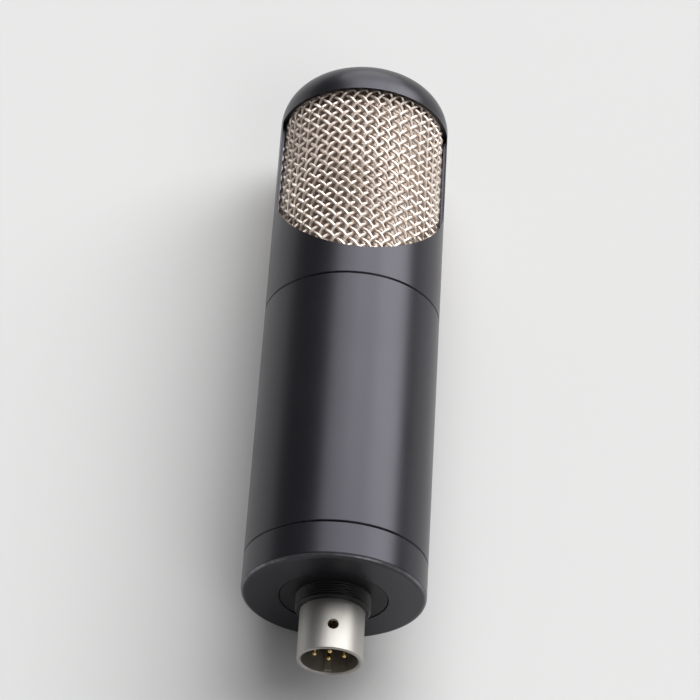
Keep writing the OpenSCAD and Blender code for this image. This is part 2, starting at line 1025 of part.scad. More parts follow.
module base_ring() {
    e = ring_edge_r;
    c = seam_chamfer;
    bore = boss_r + 0.25;
    color([0.12, 0.12, 0.14])
        lay()
            rotate_extrude() {
                polygon([[hub_r + running_gap, base_z], [body_r - e, base_z], [body_r - e, base_z + e],
                    [body_r, base_z + e], [body_r, ring_top - c], [body_r - c, ring_top],
                    [bore, ring_top], [bore, base_z + lip_t], [hub_r + running_gap, base_z + lip_t]]);
                intersection() {
                    translate([body_r - e, base_z + e])
                        circle(r = e);
                    translate([body_r - e - fit, base_z])
                        square([e + fit, e + fit]);
                }
            }
}

head_shell();
grille_wires();
grille_rims();
inner_gauze();
head_plate();
head_screws();
capsule_backplate();
front_diaphragm();
rear_diaphragm();
front_clamp_ring();
rear_clamp_ring();
capsule_screws();
capsule_terminals();
capsule_saddle();
capsule_mount();
capsule_leads();
left_rail();
right_rail();
rail_screws();
base_plate();
threaded_neck();
connector_shell();
connector_insert();
connector_pins();
connector_leads();
circuit_board();
board_screws();
film_capacitors();
electrolytic_capacitors();
resistors();
valve_shelf();
shelf_screws();
valve_socket();
socket_contacts();
valve_envelope();
valve_stem();
valve_pins();
valve_anodes();
valve_micas();
valve_rods();
valve_getter();
transformer_core();
transformer_bobbin();
transformer_winding();
transformer_strap();
strap_screws();
body_sleeve();
base_ring();
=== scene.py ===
import math

import bmesh
import bpy
from mathutils import Matrix, Vector


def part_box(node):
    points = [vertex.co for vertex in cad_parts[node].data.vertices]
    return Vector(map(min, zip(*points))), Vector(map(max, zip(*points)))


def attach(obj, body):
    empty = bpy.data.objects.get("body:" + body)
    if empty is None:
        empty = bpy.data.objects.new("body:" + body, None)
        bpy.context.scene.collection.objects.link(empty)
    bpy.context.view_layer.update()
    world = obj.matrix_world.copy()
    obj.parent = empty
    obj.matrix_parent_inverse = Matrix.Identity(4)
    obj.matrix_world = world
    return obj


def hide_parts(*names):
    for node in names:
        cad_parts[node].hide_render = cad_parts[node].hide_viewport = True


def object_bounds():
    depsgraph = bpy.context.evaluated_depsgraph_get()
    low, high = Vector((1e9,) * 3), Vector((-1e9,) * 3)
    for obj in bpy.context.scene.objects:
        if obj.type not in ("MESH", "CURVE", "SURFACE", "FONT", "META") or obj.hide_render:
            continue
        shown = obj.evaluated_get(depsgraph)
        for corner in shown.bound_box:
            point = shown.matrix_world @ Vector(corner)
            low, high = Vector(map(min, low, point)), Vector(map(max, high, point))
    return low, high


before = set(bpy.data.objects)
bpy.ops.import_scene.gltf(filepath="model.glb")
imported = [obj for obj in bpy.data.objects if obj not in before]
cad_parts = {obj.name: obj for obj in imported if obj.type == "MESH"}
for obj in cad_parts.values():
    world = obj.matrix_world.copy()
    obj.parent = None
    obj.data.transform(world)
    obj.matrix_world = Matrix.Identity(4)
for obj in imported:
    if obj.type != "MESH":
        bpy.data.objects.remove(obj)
cad_low, cad_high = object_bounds()

# Camera. The microphone lies on its back, front up, and is seen from above its connector end.
# The barrel leans a little to the right in the picture, as it does in the photograph.
BARREL_LEAN = math.radians(3.8)
VIEW_DISTANCE = 0.77
AIM_SHIFT = Vector((0.0, 0.004, 0.0))   # from the box's middle a little toward the head
toward_camera = Vector((-0.035, -0.527, 0.849)).normalized()
barrel = Vector((0, 1, 0))
seen_barrel = (barrel - toward_camera * barrel.dot(toward_camera)).normalized()
beside_barrel = seen_barrel.cross(toward_camera)
picture_up = seen_barrel * math.cos(BARREL_LEAN) - beside_barrel * math.sin(BARREL_LEAN)
picture_right = picture_up.cross(toward_camera)
aim = (cad_low + cad_high) / 2 + AIM_SHIFT
camera = bpy.data.objects.new("camera", bpy.data.cameras.new("camera"))
camera.data.lens = 129
camera.data.clip_start = 0.01
camera.matrix_world = Matrix.Translation(aim + toward_camera * VIEW_DISTANCE) @ Matrix(
    (picture_right, picture_up, toward_camera)).transposed().to_4x4()
bpy.context.scene.collection.objects.link(camera)
bpy.context.scene.camera = camera
bpy.context.scene.view_settings.view_transform = "Standard"


# Studio. A pale matt floor and three soft lamps beyond the head, from overhead round to the right and
# brighter that way, for the light band along the barrel. A broad low lamp behind the head lights the
# crown and the wires, and one from the connector's side fills the grille. The room is a plain dim grey.
class Wire:
    """One output of a node. The operators add Math nodes, numbers on either side included."""

    def __init__(self, graph, socket):
        self.graph, self.socket = graph, socket

    def math(self, operation, *terms):
        return self.graph.node("ShaderNodeMath", {"operation": operation}, dict(enumerate(terms)))

    def __add__(self, other):
        return self.math("ADD", self, other)

    __radd__ = __add__

    def __sub__(self, other):
        return self.math("SUBTRACT", self, other)

    def __rsub__(self, other):
        return self.math("SUBTRACT", other, self)

    def __mul__(self, other):
        return self.math("MULTIPLY", self, other)

    __rmul__ = __mul__

    def __truediv__(self, other):
        return self.math("DIVIDE", self, other)

    def __rtruediv__(self, other):
        return self.math("DIVIDE", other, self)

    def __gt__(self, other):
        return self.math("GREATER_THAN", self, other)

    def __lt__(self, other):
        return self.math("LESS_THAN", self, other)

    def __abs__(self):
        return self.math("ABSOLUTE", self)


class Graph:
    """A node tree. node() adds any node: its settings first, then the values or links of its sockets."""

    def __init__(self, tree):
        self.tree = tree

    def node(self, kind, settings=None, values=None, out=0):
        made = self.tree.nodes.new(kind)
        for key, value in (settings or {}).items():
            setattr(made, key, value)
        for key, value in (values or {}).items():
            known = made.inputs if isinstance(key, int) else {s.name: s for s in made.inputs if s.enabled}
            socket = known[key]
            if isinstance(value, (Wire, list)):
                for wire in value if isinstance(value, list) else [value]:
                    self.tree.links.new(wire.socket, socket)
            elif socket.type == "RGBA":
                socket.default_value = (*value[:3], 1)
            else:
                socket.default_value = value
        return Wire(self, [s for s in made.outputs if s.enabled][out])


class Finish(Graph):
    """A material on the object's own coordinates. Constants go straight onto the shader's sockets."""

    def __init__(self, name, constants):
        self.material = bpy.data.materials.new(name)
        self.material.use_nodes = True
        super().__init__(self.material.node_tree)
        self.shader = self.tree.nodes["Principled BSDF"]
        for socket, value in constants.items():
            self.shader.inputs[socket].default_value = value
        self.place = Wire(self, self.tree.nodes.new("ShaderNodeTexCoord").outputs["Object"])

    def feed(self, socket, wire):
        self.tree.links.new(wire.socket, self.shader.inputs[socket])

    def along(self, axis):
        return self.node("ShaderNodeSeparateXYZ", None, {0: self.place}, axis)

    def noise(self, scale, detail=2.0, stretch=(1, 1, 1)):
        at = self.node("ShaderNodeVectorMath", {"operation": "MULTIPLY"}, {0: self.place, 1: stretch})
        return self.node("ShaderNodeTexNoise", None, {"Vector": at, "Scale": scale, "Detail": detail})

    def blend(self, share, first, second):
        return self.node("ShaderNodeMix", {"data_type": "RGBA"}, {"Factor": share, "A": first, "B": second})

    def step(self, value, start, end):
        return self.node("ShaderNodeMapRange", {"interpolation_type": "SMOOTHSTEP"},
                         {"Value": value, "From Min": start, "From Max": end})

    def bump(self, height, depth, strength=1.0):
        self.feed("Normal", self.node("ShaderNodeBump", None, {
            "Height": height, "Distance": depth, "Strength": strength}))


floor_paint = Finish("floor_paint", {"Roughness": 0.9})
floor_paint.feed("Base Color", floor_paint.blend(
    floor_paint.noise(3), (0.62, 0.62, 0.615), (0.64, 0.64, 0.635)))
FLOOR_R = 60
floor_mesh = bpy.data.meshes.new("floor")
floor_form = bmesh.new()
bmesh.ops.create_circle(floor_form, cap_ends=True, segments=96, radius=FLOOR_R)
floor_form.to_mesh(floor_mesh)
floor_form.free()
floor_mesh.materials.append(floor_paint.material)
floor = bpy.data.objects.new("floor", floor_mesh)
bpy.context.scene.collection.objects.link(floor)

room = bpy.data.worlds.new("room")
room.use_nodes = True
room.node_tree.nodes["Background"].inputs["Color"].default_value = (0.12, 0.12, 0.125, 1)
bpy.context.scene.world = room

MIRROR_RISE = 0.527   # share of a mirrored sight line that runs along the barrel, toward the head
for lamp_name, turn, rise, spread, radiance in (
        ("over_lamp", -10, MIRROR_RISE, 30, 3.8),
        ("front_lamp", 20, MIRROR_RISE, 30, 4.8),
        ("side_lamp", 53, MIRROR_RISE, 34, 6.8),
        ("crown_lamp", 6, 0.88, 56, 2.6),
        ("fill_lamp", 32, -0.62, 34, 2.0)):
    lamp = bpy.data.objects.new(lamp_name, bpy.data.lights.new(lamp_name, "SUN"))
    lamp.data.angle = math.radians(spread)
    lamp.data.energy = radiance * math.pi * math.sin(math.radians(spread / 2)) ** 2
    lean = math.sqrt(1 - rise ** 2)
    away = Vector((lean * math.sin(math.radians(turn)), rise, lean * math.cos(math.radians(turn))))
    lamp.matrix_world = Matrix.Translation(away) @ away.to_track_quat("Z", "Y").to_matrix().to_4x4()
    bpy.context.scene.collection.objects.link(lamp)


# Base plate and neck. The base plate is turned from aluminium and anodised black; it closes the
# barrel from below. The neck screws up into it and carries the thread for a stand mount.
def dress(finish, *names):
    for name in names:
        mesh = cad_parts[name].data
        mesh.materials.clear()
        mesh.materials.append(finish.material)


axis_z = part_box("body_sleeve")[0].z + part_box("body_sleeve")[1].x
black_anodised = Finish("black_anodised", {"Metallic": 0.4, "Specular IOR Level": 0.4})
from_x, from_z = black_anodised.along(0), black_anodised.along(2) - axis_z
radius = from_x * from_x + from_z * from_z
radius = radius.math("SQRT", radius)
turning = black_anodised.node("ShaderNodeTexNoise", {"noise_dimensions": "1D"}, {
    "W": radius + black_anodised.along(1), "Scale": 7000.0, "Detail": 3.0})
black_anodised.feed("Base Color", black_anodised.blend(
    turning, (0.009, 0.009, 0.010), (0.019, 0.019, 0.021)))
black_anodised.feed("Roughness", 0.36 + turning * 0.18)
black_anodised.bump(turning, 0.00001, 0.5)
dress(black_anodised, "base_plate")

THREAD_PITCH = 0.00075
THREAD_DEPTH = 0.00042
THREAD_ROWS = 56
THREAD_RUNOUT = 12
NECK_SIDES = 144
NECK_CHAMFER = 0.0006
NECK_RELIEF = 0.0003
SHELL_GAP = 0.00005
neck_low, neck_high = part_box("threaded_neck")
shoulder_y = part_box("base_plate")[0].y
neck_r = neck_high.x
shell_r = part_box("connector_shell")[1].x
neck_rows = [(neck_low.y, neck_r - NECK_CHAMFER, 0.0)]
for row in range(THREAD_ROWS + 1):
    share = row / THREAD_ROWS
    neck_rows.append((neck_low.y + NECK_CHAMFER + (shoulder_y - neck_low.y - NECK_CHAMFER) * share, neck_r,
                      min(1.0, THREAD_RUNOUT * share * (1 - share))))
neck_rows += [(shoulder_y, neck_r - NECK_RELIEF, 0.0), (neck_high.y, neck_r - NECK_RELIEF, 0.0),
              (neck_high.y, shell_r + SHELL_GAP, 0.0), (neck_low.y, shell_r + SHELL_GAP, 0.0)]


def turned(name, rows, sides, finish, groove=None, places=(Matrix.Translation((0, 0, axis_z)),)):
    """A closed ring of rows (station, radius, groove share), turned about Y and set down at each place."""
    form = bmesh.new()
    for place in places:
        rings = []
        for y, r, share in rows:
            ring = []
            for k in range(sides):
                angle = 2 * math.pi * k / sides
                reach = r - (groove(y, angle) * share if groove else 0.0)
                point = Vector((reach * math.sin(angle), y, reach * math.cos(angle)))
                ring.append(form.verts.new(place @ point))
            rings.append(ring)
        for low, high in zip(rings, rings[1:] + rings[:1]):
            for k in range(sides):
                form.faces.new((low[k - 1], low[k], high[k], high[k - 1]))
    return finished(name, form, finish)


MERGE_DISTANCE = 0.0000005
SLIVER_DISTANCE = 0.0000002
SHARP_EDGE = math.radians(35)


def finished(name, form, finish):
    """Turns a form's faces outward, shades it and sets it in the scene as a piece on the chassis."""
    bmesh.ops.remove_doubles(form, verts=form.verts, dist=MERGE_DISTANCE)
    bmesh.ops.dissolve_degenerate(form, edges=form.edges, dist=SLIVER_DISTANCE)
    bmesh.ops.recalc_face_normals(form, faces=form.faces)
    mesh = bpy.data.meshes.new(name)
    form.to_mesh(mesh)
    form.free()
    mesh.shade_smooth()
    mesh.set_sharp_from_angle(angle=SHARP_EDGE)
    mesh.materials.append(finish.material)
    piece = bpy.data.objects.new(name, mesh)
    bpy.context.scene.collection.objects.link(piece)
    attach(piece, "chassis")
    return piece


def thread_cut(y, angle):
    turn = (y / THREAD_PITCH - angle / (2 * math.pi)) % 1
    return THREAD_DEPTH * abs(2 * turn - 1)


neck_thread = turned("neck_thread", neck_rows, NECK_SIDES, black_anodised, thread_cut)
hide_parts("threaded_neck")

# Connector. A drawn shell plated in satin nickel, with a latch hole at the front, and a black
# moulded insulator that holds seven gold-plated pins. The shell is pressed into the neck.
satin_nickel = Finish("satin_nickel", {"Metallic": 1.0})
rings = satin_nickel.noise(1.0, 3, (300, 14000, 300))
stain = satin_nickel.noise(160, 3)
satin_nickel.feed("Base Color", satin_nickel.blend(stain, (0.38, 0.365, 0.34), (0.46, 0.445, 0.42)))
satin_nickel.feed("Roughness", 0.43 + rings * 0.10 + stain * 0.06)
satin_nickel.bump(rings, 0.000006, 0.5)
dress(satin_nickel, "connector_shell")

black_moulding = Finish("black_moulding", {"Specular IOR Level": 0.4})
speck = black_moulding.noise(2400, 3)
black_moulding.feed("Base Color", black_moulding.blend(speck, (0.014, 0.014, 0.014), (0.026, 0.025, 0.025)))
black_moulding.feed("Roughness", 0.45 + speck * 0.2)
black_moulding.bump(speck, 0.00002, 0.5)
dress(black_moulding, "connector_insert", "capsule_saddle")

gold_plate = Finish("gold_plate", {"Metallic": 1.0})
tarnish = gold_plate.noise(500, 3)
gold_plate.feed("Base Color", gold_plate.blend(tarnish, (0.72, 0.50, 0.18), (0.86, 0.66, 0.32)))
gold_plate.feed("Roughness", 0.18 + tarnish * 0.16)
dress(gold_plate, "connector_pins", "capsule_terminals", "socket_contacts")

# Rails. Two strips of brushed aluminium with folded feet, screwed to the base plate below and to the
# head plate above. The head plate, the valve shelf and the transformer strap are cut from the same sheet.
brushed = Finish("brushed_aluminium", {"Metallic": 1.0})
stroke = brushed.noise(1.0, 3, (7000, 160, 7000))
patch = brushed.noise(120, 2)
brushed.feed("Base Color", brushed.blend(patch, (0.36, 0.36, 0.37), (0.46, 0.46, 0.47)))
brushed.feed("Roughness", 0.46 + stroke * 0.16 + patch * 0.06)
brushed.bump(stroke, 0.000012, 0.5)
dress(brushed, "left_rail", "right_rail", "head_plate", "valve_shelf", "transformer_strap")

screw_steel = Finish("screw_steel", {"Metallic": 1.0})
scuff = screw_steel.noise(1800, 3)
screw_steel.feed("Base Color", screw_steel.blend(scuff, (0.34, 0.34, 0.35), (0.48, 0.48, 0.48)))
screw_steel.feed("Roughness", 0.36 + scuff * 0.18)


def spot(across, back, up):
    """A point from millimetres: across the barrel, back from its axis and up from the connector's rim."""
    return Vector((across / 1000, cad_low.y + up / 1000, axis_z - back / 1000))


def new_tree(name, **inputs):
    """A tree with a mesh going in and out and the named sizes beside it."""
    tree = bpy.data.node_groups.new(name, "GeometryNodeTree")
    tree.interface.new_socket("Geometry", in_out="OUTPUT", socket_type="NodeSocketGeometry")
    tree.interface.new_socket("Geometry", in_out="INPUT", socket_type="NodeSocketGeometry")
    for key, kind in inputs.items():
        tree.interface.new_socket(key, in_out="INPUT", socket_type="NodeSocket" + kind)
    g = Graph(tree)
    return g, {s.name: Wire(g, s) for s in tree.nodes.new("NodeGroupInput").outputs}


def closed_tree(g, whole, finish):
    """Ends a tree: instances made real, the material set."""
    whole = g.node("GeometryNodeRealizeInstances", None, {"Geometry": whole})
    whole = g.node("GeometryNodeSetMaterial", None, {"Geometry": whole, "Material": finish.material})
    g.tree.links.new(whole.socket, g.tree.nodes.new("NodeGroupOutput").inputs[0])
    return g.tree


GROWN_SHARP_EDGE = math.radians(40)


def grown(name, tree, sizes, points=(), aims=(), edges=()):
    """Runs a tree on a few points, its inputs set by identifier first, and keeps a plain mesh."""
    seed = bpy.data.meshes.new(name)
    seed.from_pydata([tuple(p) for p in points], list(edges), [])
    if aims:
        aim_data = seed.attributes.new("aim", "FLOAT_VECTOR", "POINT").data
        aim_data.foreach_set("vector", [part for toward in aims for part in toward])
    piece = bpy.data.objects.new(name, seed)
    bpy.context.scene.collection.objects.link(piece)
    run = piece.modifiers.new(name, "NODES")
    run.node_group = tree
    for socket in tree.interface.items_tree:
        if socket.in_out == "INPUT" and socket.name in sizes:
            run[socket.identifier] = sizes[socket.name]
    mesh = bpy.data.meshes.new_from_object(piece.evaluated_get(bpy.context.evaluated_depsgraph_get()))
    piece.modifiers.remove(run)
    mesh.shade_smooth()
    mesh.set_sharp_from_angle(angle=GROWN_SHARP_EDGE)
    piece.data = mesh
    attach(piece, "chassis")
    return piece


def screw_tree(name, finish):
    """A screw with a cross recess, its seat on each point and its head toward the point's aim."""
    g, size = new_tree(name, Head="Float", Seat="Float", Height="Float", Slot="Float", Cross="Float",
                       Shank="Float", Length="Float")
    head = g.node("GeometryNodeMeshCone", None, {
        "Vertices": 28, "Radius Top": size["Head"], "Radius Bottom": size["Seat"], "Depth": size["Height"]})
    slots = []
    for long, wide in ((1.24, size["Slot"]), (size["Slot"], size["Cross"])):
        block = g.node("ShaderNodeCombineXYZ", None, {
            0: size["Head"] * long, 1: size["Head"] * wide, 2: size["Height"]})
        slots.append(g.node("GeometryNodeMeshCube", None, {"Size": block}))
    cutter = g.node("GeometryNodeMeshBoolean", {"operation": "UNION", "solver": "EXACT"}, {1: slots})
    raised = g.node("ShaderNodeCombineXYZ", None, {2: size["Height"]})
    cutter = g.node("GeometryNodeTransform", None, {"Geometry": cutter, "Translation": raised})
    head = g.node("GeometryNodeMeshBoolean", {"operation": "DIFFERENCE", "solver": "EXACT"}, {
        0: head, 1: cutter})
    shank = g.node("GeometryNodeMeshCylinder", None, {
        "Vertices": 14, "Radius": size["Shank"], "Depth": size["Length"]})
    sunk = g.node("ShaderNodeCombineXYZ", None, {2: size["Length"] * -0.499})
    shank = g.node("GeometryNodeTransform", None, {"Geometry": shank, "Translation": sunk})
    screw = g.node("GeometryNodeJoinGeometry", None, {"Geometry": [head, shank]})
    aim = g.node("GeometryNodeInputNamedAttribute", {"data_type": "FLOAT_VECTOR"}, {"Name": "aim"})
    turn = g.node("FunctionNodeAlignRotationToVector", {"axis": "Z"}, {"Vector": aim})
    posts = g.node("GeometryNodeMeshToPoints", None, {"Mesh": size["Geometry"]})
    set_in = g.node("GeometryNodeInstanceOnPoints", None, {
        "Points": posts, "Instance": screw, "Rotation": turn})
    spin = g.node("FunctionNodeRandomValue", {"data_type": "FLOAT"}, {"Min": 0.0, "Max": 1.57, "Seed": 4})
    spin = g.node("ShaderNodeCombineXYZ", None, {2: spin})
    set_in = g.node("GeometryNodeRotateInstances", None, {"Instances": set_in, "Rotation": spin})
    return closed_tree(g, set_in, finish)


CHEESE_HEAD = {"Head": 0.00162, "Seat": 0.0017, "Height": 0.0012, "Slot": 0.26, "Cross": 1.24,
               "Shank": 0.001}
steel_screw = screw_tree("steel_screw", screw_steel)
UP, DOWN, FRONT = Vector((0, 1, 0)), Vector((0, -1, 0)), Vector((0, 0, 1))
LEFT, RIGHT = Vector((-1, 0, 0)), Vector((1, 0, 0))


def screwed(node, places, aims, length):
    piece = grown(node + "_cross", steel_screw, {**CHEESE_HEAD, "Length": length}, places, aims)
    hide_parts(node)


screwed("rail_screws", [spot(s * 18.9, 0, up) for s in (-1, 1) for up in (38.5, 108.1)],
        [aim for s in (-1, 1) for aim in (UP, DOWN)], 0.0046)
screwed("shelf_screws", [spot(-23.0, 0, 48.1), spot(23.0, 0, 48.1)], [LEFT, RIGHT], 0.0038)

# Circuit board. Glass-epoxy sheet with a green solder mask over its copper tracks, held by four screws
# to tabs on the rails. The bare cut edge is straw-coloured.
board_mask = Finish("board_mask", {"Coat Roughness": 0.12, "Specular IOR Level": 0.35})
TRACK_PITCH = 0.0024
TRACK_HALF = 0.14   # half a track's width, as a share of the pitch
across, along = board_mask.along(0) / TRACK_PITCH, board_mask.along(1) / TRACK_PITCH
lines = 0.0
for run_axis, cross_axis, block in ((across, along, 5.0), (along, across, 4.0)):
    stretch = cross_axis / block
    cell = board_mask.node("ShaderNodeCombineXYZ", None, {
        0: run_axis.math("FLOOR", run_axis), 1: stretch.math("FLOOR", stretch), 2: block})
    kept = board_mask.node("ShaderNodeTexWhiteNoise", {"noise_dimensions": "3D"}, {"Vector": cell}) > 0.5
    off_line = abs(run_axis.math("FRACT", run_axis) - 0.5)
    lines = (off_line < TRACK_HALF) * kept + lines
tracks = board_mask.step(lines, 0.0, 0.6)
facing = board_mask.node("ShaderNodeNewGeometry", None, None, 1)
edge = 1 - (abs(board_mask.node("ShaderNodeSeparateXYZ", None, {0: facing}, 2)) > 0.5)
tone = board_mask.noise(400, 3)
green = board_mask.blend(tone, (0.008, 0.060, 0.026), (0.013, 0.085, 0.036))
green = board_mask.blend(tracks, green, (0.040, 0.155, 0.060))
board_mask.feed("Base Color", board_mask.blend(edge, green, (0.36, 0.32, 0.15)))
board_mask.feed("Roughness", 0.34 + edge * 0.3 + tone * 0.06)
board_mask.feed("Coat Weight", 0.14 * (1 - edge))
board_mask.bump(tracks, 0.00003, 0.8)
dress(board_mask, "circuit_board")
screwed("board_screws", [spot(s * 16.3, 2.2, up) for s in (-1, 1) for up in (40.5, 102)],
        [FRONT] * 4, 0.0036)

# Resistors. Eight metal-film resistors: a dipped pale blue body with thick ends and four colour bands,
# on tinned leads that bend down into the board, where each ends in a small cone of solder.
RESISTOR_PITCH = 0.011
RESISTOR_HALF = 0.0032
RESISTOR_REACH = 0.0042
RESISTOR_DROP = 0.0013
DIP_END = 0.0031
BAND_HALF = 0.00028
resistor_spots = [spot(s * 12.3, 0.9, 49.5 + 11 * k) for s in (-1, 1) for k in range(4)]
resistor_dip = Finish("resistor_dip", {"Specular IOR Level": 0.5})
from_first = (resistor_dip.along(1) - (resistor_spots[0].y - RESISTOR_PITCH / 2)) / RESISTOR_PITCH
beside = (from_first.math("FRACT", from_first) - 0.5) * RESISTOR_PITCH
lead_part = abs(beside) > DIP_END
dipped = resistor_dip.blend(resistor_dip.noise(700, 2), (0.24, 0.42, 0.52), (0.32, 0.52, 0.62))
for centre, band in ((-0.0020, (0.20, 0.05, 0.02)), (-0.0009, (0.02, 0.02, 0.02)),
                     (0.0002, (0.55, 0.05, 0.03)), (0.0020, (0.55, 0.34, 0.10))):
    dipped = resistor_dip.blend(abs(beside - centre) < BAND_HALF, dipped, band)
resistor_dip.feed("Base Color", resistor_dip.blend(lead_part, dipped, (0.62, 0.61, 0.59)))
resistor_dip.feed("Metallic", lead_part)
resistor_dip.feed("Roughness", 0.28 + resistor_dip.noise(1500, 2) * 0.12)


def resistor_tree(finish):
    """A body swept along a line with thick rounded ends, and a bent lead at both of them."""
    g, size = new_tree("dipped_resistor", Half="Float", Thick="Float", Wire="Float", Reach="Float",
                       Drop="Float")
    t = g.node("GeometryNodeSplineParameter")
    off_middle = abs(t * 2 - 1)
    ends = g.node("ShaderNodeMapRange", {"interpolation_type": "SMOOTHSTEP"}, {
        "Value": off_middle, "From Min": 0.42, "From Max": 0.66, "To Min": 0.84, "To Max": 1.0})
    rounding = 1.02 - off_middle.math("POWER", off_middle, 9.0)
    swell = ends * rounding.math("POWER", rounding, 0.5) * size["Thick"]
    tip = g.node("ShaderNodeCombineXYZ", None, {1: size["Half"]})
    tail = g.node("ShaderNodeCombineXYZ", None, {1: size["Half"] * -1})
    spine = g.node("GeometryNodeCurvePrimitiveLine", None, {"Start": tail, "End": tip})
    spine = g.node("GeometryNodeResampleCurve", None, {"Curve": spine, "Count": 33})
    ring = g.node("GeometryNodeCurvePrimitiveCircle", None, {"Resolution": 18, "Radius": 1.0})
    body = g.node("GeometryNodeCurveToMesh", None, {
        "Curve": spine, "Profile Curve": ring, "Scale": swell, "Fill Caps": True})
    elbow = g.node("ShaderNodeCombineXYZ", None, {1: size["Reach"]})
    foot = g.node("ShaderNodeCombineXYZ", None, {1: size["Reach"], 2: size["Drop"] * -1})
    bend = g.node("GeometryNodeCurvePrimitiveBezierSegment", {"mode": "POSITION"}, {
        "Resolution": 10, "Start": tip, "Start Handle": elbow, "End Handle": elbow, "End": foot})
    wire_ring = g.node("GeometryNodeCurvePrimitiveCircle", None, {
        "Resolution": 8, "Radius": size["Wire"]})
    lead = g.node("GeometryNodeCurveToMesh", None, {
        "Curve": bend, "Profile Curve": wire_ring, "Fill Caps": True})
    other = g.node("GeometryNodeTransform", None, {"Geometry": lead, "Rotation": (0, 0, math.pi)})
    whole = g.node("GeometryNodeJoinGeometry", None, {"Geometry": [body, lead, other]})
    posts = g.node("GeometryNodeMeshToPoints", None, {"Mesh": size["Geometry"]})
    row = g.node("GeometryNodeInstanceOnPoints", None, {"Points": posts, "Instance": whole})
    return closed_tree(g, row, finish)


resistors = grown("dipped_resistors", resistor_tree(resistor_dip), {
    "Half": RESISTOR_HALF, "Thick": 0.0012, "Wire": 0.0003, "Reach": RESISTOR_REACH,
    "Drop": RESISTOR_DROP}, resistor_spots)
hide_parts("resistors")

solder = Finish("solder", {"Metallic": 1.0})
flow = solder.noise(2200, 2)
solder.feed("Base Color", solder.blend(flow, (0.46, 0.46, 0.46), (0.66, 0.66, 0.65)))
solder.feed("Roughness", 0.22 + flow * 0.2)


def solder_tree(finish):
    """A low cone with a hollow flank on every point."""
    g, size = new_tree("solder_cone", Radius="Float", Height="Float")
    t = g.node("GeometryNodeSplineParameter")
    top = g.node("ShaderNodeCombineXYZ", None, {2: size["Height"]})
    spine = g.node("GeometryNodeCurvePrimitiveLine", None, {"End": top})
    spine = g.node("GeometryNodeResampleCurve", None, {"Curve": spine, "Count": 7})
    flank = 0.32 + 0.68 * (1 - t) * (1 - t)
    ring = g.node("GeometryNodeCurvePrimitiveCircle", None, {"Resolution": 14, "Radius": size["Radius"]})
    cone = g.node("GeometryNodeCurveToMesh", None, {
        "Curve": spine, "Profile Curve": ring, "Fill Caps": True, "Scale": flank})
    posts = g.node("GeometryNodeMeshToPoints", None, {"Mesh": size["Geometry"]})
    row = g.node("GeometryNodeInstanceOnPoints", None, {"Points": posts, "Instance": cone})
    return closed_tree(g, row, finish)


lead_feet = [place + Vector((0, side * RESISTOR_REACH, -RESISTOR_DROP))
             for place in resistor_spots for side in (-1, 1)]
pad_across = [2.4 * k - 6 for k in range(6)]   # the pads of the connector's leads, along the lower edge
lead_feet += [spot(pad, 2.2, 39.5) for pad in pad_across]
joints = grown("solder_joints", solder_tree(solder), {"Radius": 0.0008, "Height": 0.0006}, lead_feet)

# Capacitors. Two film capacitors in moulded red boxes and two electrolytic cans in a blue sleeve with a
# pale stripe, all on the rear of the board. The cans have a rolled groove and a scored end.
red_epoxy = Finish("red_epoxy", {"Specular IOR Level": 0.45})
mould = red_epoxy.noise(900, 3)
red_epoxy.feed("Base Color", red_epoxy.blend(mould, (0.30, 0.028, 0.016), (0.40, 0.042, 0.024)))
red_epoxy.feed("Roughness", 0.32 + mould * 0.16)
red_epoxy.bump(mould, 0.00003, 0.5)
boxes = bmesh.new()
for near, far in ((spot(-14, 3.8, 73.5), spot(3, 13.3, 86.5)),
                  (spot(-14, 3.8, 89.5), spot(-1, 10.8, 97.5))):
    size = far - near
    place = Matrix.Translation((near + far) / 2) @ Matrix.Diagonal((*(abs(v) for v in size), 1))
    cube = bmesh.ops.create_cube(boxes, size=1, matrix=place)["verts"]
    rims = list({e for v in cube for e in v.link_edges})
    bmesh.ops.bevel(boxes, geom=rims, offset=0.0007, segments=3, profile=0.5, affect="EDGES")
film_boxes = finished("film_boxes", boxes, red_epoxy)
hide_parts("film_capacitors")

can_sleeve = Finish("can_sleeve", {"Specular IOR Level": 0.5})
CAN_R = 0.0042
CAN_LONG = 0.0115
laid_back = Matrix.Rotation(math.radians(-90), 4, "X")
can_places = [Matrix.Translation(spot(9.5, 3.8, up)) @ laid_back for up in (77.5, 88.0)]
from_end = can_sleeve.along(2) - (can_places[0].translation.z - CAN_LONG)
bare_end = from_end < 0.00075
stripe = (can_sleeve.along(0) - can_places[0].translation.x) > CAN_R * 0.72
skin = can_sleeve.blend(can_sleeve.noise(600, 2), (0.010, 0.022, 0.070), (0.016, 0.034, 0.100))
skin = can_sleeve.blend(stripe, skin, (0.42, 0.45, 0.52))
can_sleeve.feed("Base Color", can_sleeve.blend(bare_end, skin, (0.60, 0.60, 0.61)))
can_sleeve.feed("Metallic", bare_end)
can_sleeve.feed("Roughness", 0.26 + can_sleeve.noise(1200, 2) * 0.12)
can_rows = [(0.0, 0.0001), (0.0, 0.93), (0.0004, 1.0), (0.0014, 1.0), (0.0018, 0.93), (0.0022, 0.93),
            (0.0026, 1.0)]
can_rows += [(CAN_LONG - 0.0006, 1.0), (CAN_LONG - 0.0001, 0.95), (CAN_LONG, 0.88),
             (CAN_LONG - 0.0002, 0.80), (CAN_LONG - 0.0002, 0.0001)]
can_rows = [(y, r * CAN_R, 0.0) for y, r in can_rows]
cans = turned("electrolytic_cans", can_rows, 48, can_sleeve, None, can_places)
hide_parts("electrolytic_capacitors")

